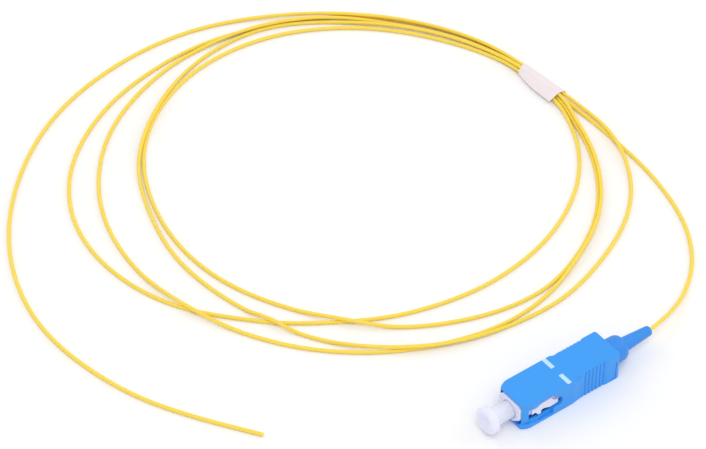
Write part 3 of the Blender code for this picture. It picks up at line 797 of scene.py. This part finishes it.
def cavity_cutter():
    """The room inside for the plug frame, with a flared mouth."""
    inner = HOUSING_WIDTH / 2 - WALL_SIDE
    ceiling = HOUSING_HEIGHT - WALL_TOP
    foot = WALL_TOP + CAVITY_FOOT
    section = [
        (inner - CAVITY_FOOT, WALL_TOP), (inner, foot), (inner, ceiling),
        (-inner, ceiling), (-inner, foot), (-inner + CAVITY_FOOT, WALL_TOP),
    ]
    section = rounded(section, CAVITY_ROUND)
    layers = [(offset(section, CAVITY_MOUTH[0][0]), -PAST)]
    layers += [(offset(section, flare), depth) for flare, depth in CAVITY_MOUTH]
    layers.append((section, HOUSING_LENGTH - REAR_BORE_DEPTH + CAVITY_PAST_BORE))
    return layered("cavity", layers, seen_from_front)


def rear_bore_cutter():
    """The round opening that the boot's collar goes into."""
    radius = REAR_BORE_DIAMETER / 2
    start, flare = HOUSING_LENGTH - REAR_BORE_DEPTH, radius + REAR_BORE_FLARE
    bore = [(start, 0), (start, radius), (HOUSING_LENGTH - REAR_BORE_FLARE_DEPTH, radius)]
    bore += [(HOUSING_LENGTH, flare), (HOUSING_LENGTH + PAST, flare), (HOUSING_LENGTH + PAST, 0)]
    return turned("rear_bore", bore, hollow=False, segments=BORE_SEGMENTS)


def window_cutter():
    """Both windows, cut straight through from side to side, with eased rims."""
    half = HOUSING_WIDTH / 2
    window = rounded(window_outline(), WINDOW_ROUND)
    rim = offset(window, RIM)
    layers = [(rim, -half - PAST), (rim, -half + RIM_LAND), (window, -half + RIM)]
    layers += [(window, half - RIM), (rim, half - RIM_LAND), (rim, half + PAST)]
    return layered("windows", layers, seen_from_side)


def recess_cutters(way, name):
    """The recess under a window, its deeper corner, and its run round the nose."""
    half = HOUSING_WIDTH / 2
    floor = half - RECESS_DEPTH
    recess = rounded(recess_outline(), RECESS_ROUND)
    rim = offset(recess, RIM)
    layers = [(offset(recess, -RIM), floor), (recess, floor + RIM), (recess, half - RIM)]
    layers += [(rim, half), (rim, half + PAST)]
    main = layered("recess_" + name, [(ring, way * level) for ring, level in layers], seen_from_side)
    corner = recess_corner_outline()
    layers = [(corner, way * (floor - RECESS_CORNER_DEPTH)), (corner, way * (half + PAST))]
    deeper = layered("recess_corner_" + name, layers, seen_from_side)
    band = [(depth, way * reach) for depth, reach in nose_outline()]
    layers = [(band, LIP_FRONT), (band, HOUSING_HEIGHT - RECESS_TOP)]
    return [main, deeper, layered("nose_recess_" + name, layers, seen_from_above)]


def groove_cutter(way, name):
    """The thin groove across the rear end of a side."""
    rear = HOUSING_WIDTH / 2 - REAR_INSET
    groove = groove_outline()
    layers = [(offset(groove, -GROOVE_TAPER), way * (rear - GROOVE_DEPTH))]
    layers += [(groove, way * (rear - GROOVE_LAND)), (groove, way * (rear + PAST))]
    return layered("rear_groove_" + name, layers, seen_from_side)


def scallop_cutter(way, name):
    """The shallow dent at a side's top edge, in front of the finger grooves."""
    reach = side_reach(SCALLOP_DEPTH_IN) + SCALLOP_OUT
    return dent("scallop_" + name, (along(SCALLOP_DEPTH_IN), way * reach, SCALLOP_HEIGHT), SCALLOP_REACH)


def mark_cutter(way, name):
    """The sunk floor of one of the two marks across the top."""
    top = HOUSING_HEIGHT
    near, far = way * (HOUSING_WIDTH / 2 - MARK_LENGTH), way * (HOUSING_WIDTH / 2 + PAST)
    front, rear = MARK_DEPTH_IN - MARK_WIDTH / 2, MARK_DEPTH_IN + MARK_WIDTH / 2
    mark = rounded([(front, near), (rear, near), (rear, far), (front, far)], MARK_ROUND)
    wide = offset(mark, MARK_EASE)
    layers = [(mark, top - MARK_RECESS), (mark, top - MARK_EASE), (wide, top), (wide, top + PAST)]
    return layered("mark_" + name, layers, seen_from_above)


def rib_cutters(way, name):
    """The finger grooves between the ribs of one side."""
    cutters = []
    for index in range(RIB_COUNT):
        depth = RIB_START + index * RIB_PITCH
        reach = side_reach(depth) + RIB_PROUD
        rib = [(depth + x, way * reach + y) for x, y in arc((0, 0), RIB_RADIUS, 0, 345, 23)]
        layers = [(rib, -PAST), (rib, HOUSING_HEIGHT + PAST)]
        cutters.append(layered(f"rib_{name}_{index}", layers, seen_from_above))
    return cutters


def paint_marks(housing):
    """The floors of the two marks take the second material."""
    for face in housing.data.polygons:
        level = face.center.z / MM
        depth = FRONT - face.center.x / MM
        on_floor = abs(level - (HOUSING_HEIGHT - MARK_RECESS)) < 0.02 and face.normal.z > 0.9
        if on_floor and abs(depth - MARK_DEPTH_IN) < MARK_WIDTH:
            face.material_index = 1


def make_housing(blue, paint):
    side = housing_side()
    outline = side + [(depth, -reach) for depth, reach in reversed(side)]
    levels = edge_levels(0, HOUSING_HEIGHT, EDGE_ROUND)
    layers = [(offset(outline, -inset), level) for level, inset in levels]
    housing = layered("housing_body", layers, seen_from_above, blue, paint)
    cutters = [cavity_cutter(), rear_bore_cutter(), window_cutter()]
    for way, name in ((1, "left"), (-1, "right")):
        cutters += recess_cutters(way, name)
        cutters += [groove_cutter(way, name), scallop_cutter(way, name), mark_cutter(way, name)]
        cutters += rib_cutters(way, name)
    apply_cutters(housing, cutters)
    paint_marks(housing)
    return clean_normals(smooth_shaded(housing, HOUSING_CREASE))


def catch_outline():
    """A catch from the side: depth, and distance below the housing's top."""
    return [
        (2.8, 2.7), (4.3, 2.95), (5.25, 2.3), (8.05, 2.12), (9.0, 3.42),
        (10.15, 3.6), (10.15, 4.6), (9.7, 4.78), (7.85, 4.9), (6.15, 4.22),
        (5.42, 4.3), (5.38, 5.28), (4.65, 5.28), (3.8, 4.2), (2.8, 4.3),
    ]


def frame_section():
    """The plug frame from the front, with cut corners."""
    half, low, high = FRAME_HALF_WIDTH, FRAME_LOW, FRAME_HIGH
    foot, shoulder = low + FRAME_FOOT_UP, high - FRAME_SHOULDER
    section = [
        (half - FRAME_FOOT_IN, low), (half, foot), (half, shoulder), (half - FRAME_SHOULDER, high),
        (-half + FRAME_SHOULDER, high), (-half, shoulder), (-half, foot), (-half + FRAME_FOOT_IN, low),
    ]
    return rounded(section, FRAME_ROUND)


def frame_bore_cutter():
    """The frame's insides: the recess round the ferrule, the web it passes, and the spring's chamber."""
    recess, chamber, passage = RECESS_BORE / 2, CHAMBER_BORE / 2, PASSAGE_BORE / 2
    mouth, flare = -FRAME_PROUD, recess + RECESS_CHAMFER
    web, end = RECESS_FLOOR + WEB, FRAME_END + PAST
    bore = [(mouth - PAST, 0), (mouth - PAST, flare), (mouth, flare), (mouth + RECESS_CHAMFER, recess)]
    bore += [(RECESS_FLOOR, recess), (RECESS_FLOOR, passage), (web, passage), (web, chamber)]
    bore += [(end, chamber), (end, 0)]
    return turned("frame_bore", bore, hollow=False, segments=BORE_SEGMENTS)


def make_frame(white):
    levels = edge_levels(-FRAME_PROUD, FRAME_END, FRAME_EDGE)
    section = frame_section()
    layers = [(offset(section, -inset), level) for level, inset in levels]
    body = layered("frame_body", layers, seen_from_front, white)
    catch = rounded(catch_outline(), CATCH_ROUND)
    tip, knee = offset(catch, -CATCH_EDGE), offset(catch, -CATCH_KNEE)
    reach = FRAME_HALF_WIDTH + CATCH_PROUD
    layers = [(tip, -reach), (knee, -reach + CATCH_KNEE), (catch, -reach + CATCH_EDGE)]
    layers += [(catch, reach - CATCH_EDGE), (knee, reach - CATCH_KNEE), (tip, reach)]
    catches = layered("catches", layers, seen_from_side, white)
    apply_cutters(body, [frame_bore_cutter()], joins=[catches])
    return clean_normals(smooth_shaded(body, FRAME_CREASE))


def make_boot(made):
    """The boot: a round collar, a rounded shoulder, and a slim tail that narrows to a round tip."""
    collar, neck, tip, foot = BOOT_COLLAR, BOOT_NECK, BOOT_TIP, BOOT_NECK + BOOT_STEP
    profile = [(BOOT_START, BOOT_SEAT), (BOOT_START, collar - BOOT_EDGE), (BOOT_START + BOOT_EDGE, collar)]
    for way, across in arc((0, 0), 1.0, 0, 90, 14):
        depth = BOOT_SHOULDER_START + (BOOT_NECK_AT - BOOT_SHOULDER_START) * across
        profile.append((depth, foot + (collar - foot) * way))
    for way, across in arc((0, 0), 1.0, 0, 90, 5)[1:]:
        profile.append((BOOT_NECK_AT + BOOT_STEP_LENGTH * (1 - way), neck + BOOT_STEP * (1 - across)))
    tail_start, tail_end = BOOT_NECK_AT + BOOT_STEP_LENGTH, BOOT_END - BOOT_TIP_ROUND
    for index in range(1, 9):
        share = index / 9
        profile.append((tail_start + (tail_end - tail_start) * share, neck + (tip - neck) * share))
    profile += arc((tail_end, tip - BOOT_TIP_ROUND), BOOT_TIP_ROUND, 90, 0, 8)
    profile += [(BOOT_END - 0.05, BOOT_PASSAGE + 0.03), (BOOT_END - 0.2, BOOT_PASSAGE)]
    profile += [(BOOT_SEAT_END, BOOT_PASSAGE), (BOOT_SEAT_END, BOOT_SEAT)]
    return turned("boot_body", profile, made)


def make_ferrule(ceramic, glass):
    """The ceramic ferrule: polished dome, a tip chamfer, and the fibre's own end in its middle."""
    tip, radius, core = FERRULE_TIP, FERRULE_RADIUS, GLASS_RADIUS
    profile = [(tip, 0)]
    for index in range(1, 5):
        share = index / 4
        profile.append((tip + FERRULE_DOME * share ** 2, core + (FERRULE_FACE - core) * share))
    profile += [(tip + depth, reach) for depth, reach in FERRULE_LEAD_IN]
    profile += [(FERRULE_END - FERRULE_CHAMFER_DEPTH, radius), (FERRULE_END, radius - FERRULE_CHAMFER)]
    profile.append((FERRULE_END, 0))
    ferrule = turned("ferrule_body", profile, ceramic, glass, hollow=False)
    for face in ferrule.data.polygons:
        away = math.hypot(face.center.y, face.center.z - AXIS_HEIGHT * MM)
        if away < core * 1.2 * MM and face.center.x > GLASS_AHEAD * MM:
            face.material_index = 1
    return ferrule


def make_spring(made):
    """The spring behind the ferrule: open turns between closed end turns."""
    radius, wire = (SPRING_DIAMETER - SPRING_WIRE) / 2, SPRING_WIRE / 2
    rise = SPRING_REAR - SPRING_FRONT - SPRING_WIRE
    closed = SPRING_CLOSED * SPRING_WIRE * SPRING_CLOSED_PITCH
    turns = np.linspace(0, SPRING_TURNS, round(SPRING_TURNS * SPRING_STEPS_PER_TURN) + 1)
    marks = [0, SPRING_CLOSED, SPRING_TURNS - SPRING_CLOSED, SPRING_TURNS]
    rings = []
    for turn, depth in zip(turns, np.interp(turns, marks, [0, closed, rise - closed, rise])):
        angle = 2 * math.pi * turn
        ring = []
        for across, level in arc((radius, SPRING_FRONT + wire + depth), wire, 0, 330, 11):
            ring.append((along(level), across * math.cos(angle), AXIS_HEIGHT + across * math.sin(angle)))
        rings.append(ring)
    return smooth_shaded(loft("spring_body", rings, made), SPRING_CREASE)


def add_studio():
    """A pale floor under even, soft light from above and from both sides."""
    data = bmesh.new()
    ways = ((-1, -1), (1, -1), (1, 1), (-1, 1))
    corners = [data.verts.new((x * FLOOR_REACH, y * FLOOR_REACH, 0.0)) for x, y in ways]
    data.faces.new(corners)
    pale = bpy.data.materials.new("pale floor")
    pale.use_nodes = True
    shader = pale.node_tree.nodes["Principled BSDF"]
    shader.inputs["Base Color"].default_value = (FLOOR_SHADE, FLOOR_SHADE, FLOOR_SHADE, 1)
    shader.inputs["Roughness"].default_value = FLOOR_ROUGHNESS
    shader.inputs["Specular IOR Level"].default_value = FLOOR_GLOSS
    object_from("floor", data, pale)
    world = bpy.data.worlds.new("studio")
    world.use_nodes = True
    sky = world.node_tree.nodes["Background"]
    sky.inputs["Color"].default_value = (1.0, 1.0, 1.0, 1)
    sky.inputs["Strength"].default_value = WORLD_STRENGTH
    bpy.context.scene.world = world
    for name, place, power in LAMPS:
        light = bpy.data.lights.new(name, "AREA")
        light.shape = "SQUARE"
        light.size = LAMP_SIZE
        light.energy = power
        lamp = bpy.data.objects.new(name, light)
        lamp.location = place
        lamp.rotation_euler = (Vector(place) - Vector(LAMP_AIM)).to_track_quat("Z", "Y").to_euler()
        bpy.context.scene.collection.objects.link(lamp)


def finish_node(name, made):
    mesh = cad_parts[name].data
    mesh.materials.clear()
    mesh.materials.append(made)


add_camera()
bpy.context.scene.view_settings.view_transform = "Standard"

yellow = surface(
    "buffer yellow", linear(247, 214, 82), 0.42, mottle=0.02, grain=1800, relief=0.002,
    Specular_IOR_Level=0.35, Subsurface_Weight=0.4, Subsurface_Scale=0.0012,
    Subsurface_Radius=(1.0, 0.7, 0.2),
)
blue = surface("connector blue", linear(47, 152, 240), 0.38, mottle=0.02, relief=0.006)
boot_blue = surface("boot blue", linear(45, 139, 230), 0.46, mottle=0.025, relief=0.008)
white = surface(
    "frame white", linear(226, 230, 250), 0.34, mottle=0.02, relief=0.006,
    Subsurface_Weight=0.12, Subsurface_Scale=0.0006,
)
milky = surface(
    "milky cap", linear(226, 228, 252), 0.34, mottle=0.025, relief=0.005,
    Subsurface_Weight=0.6, Subsurface_Scale=0.002, Subsurface_Radius=(1.0, 1.0, 1.2),
)
paint = surface("mark paint", linear(190, 224, 255), 0.5, mottle=0.03, grain=5200, relief=0.012)
ceramic = surface(
    "ferrule ceramic", linear(240, 240, 236), 0.1, mottle=0.01, relief=0.001, spread=0.03, Coat_Weight=0.3,
)
glass = surface("fibre end", linear(96, 88, 74), 0.08, mottle=0.02, relief=0.0005, spread=0.02)
nickel = surface(
    "turned nickel", linear(208, 205, 198), 0.27, mottle=0.05, grain=1500, relief=0.004, spread=0.07,
    streaks=(6.0, 0.6, 0.6), Metallic=1.0,
)
steel = surface(
    "spring steel", linear(178, 178, 182), 0.3, mottle=0.06, grain=2200, relief=0.003, spread=0.08,
    streaks=(1.0, 0.5, 0.5), Metallic=1.0,
)
film = surface(
    "pale tape", linear(246, 231, 234), 0.6, mottle=0.015, grain=900, relief=0.012,
    Subsurface_Weight=0.2, Subsurface_Scale=0.0008, Subsurface_Radius=(1.0, 0.8, 0.8),
)

route = fibre_route()
fibre = make_fibre(route, yellow)
tape = make_tape(route, film)
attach(fibre, "plug")
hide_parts("fibre_lead", "fibre_coil", "fibre_tail")
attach(tape, "plug")
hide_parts("tape_tie")

spring = make_spring(steel)
dressed = (
    (make_cap(milky), "cap", "dust_cap", "cap_milky"),
    (make_housing(blue, paint), "housing", "outer_housing", "housing_blue"),
    (make_frame(white), "plug", "plug_frame", "frame_white"),
    (make_boot(boot_blue), "plug", "boot", "boot_blue"),
    (make_ferrule(ceramic, glass), "ferrule_unit", "ferrule", "white_ceramic"),
    (spring, "plug", "spring", "spring_steel"),
)
for dressing, body, node, slot in dressed:
    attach(dressing, body)
    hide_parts(node)
finish_node("ferrule_flange", nickel)
finish_node("stop_ring", nickel)
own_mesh(spring)

add_studio()
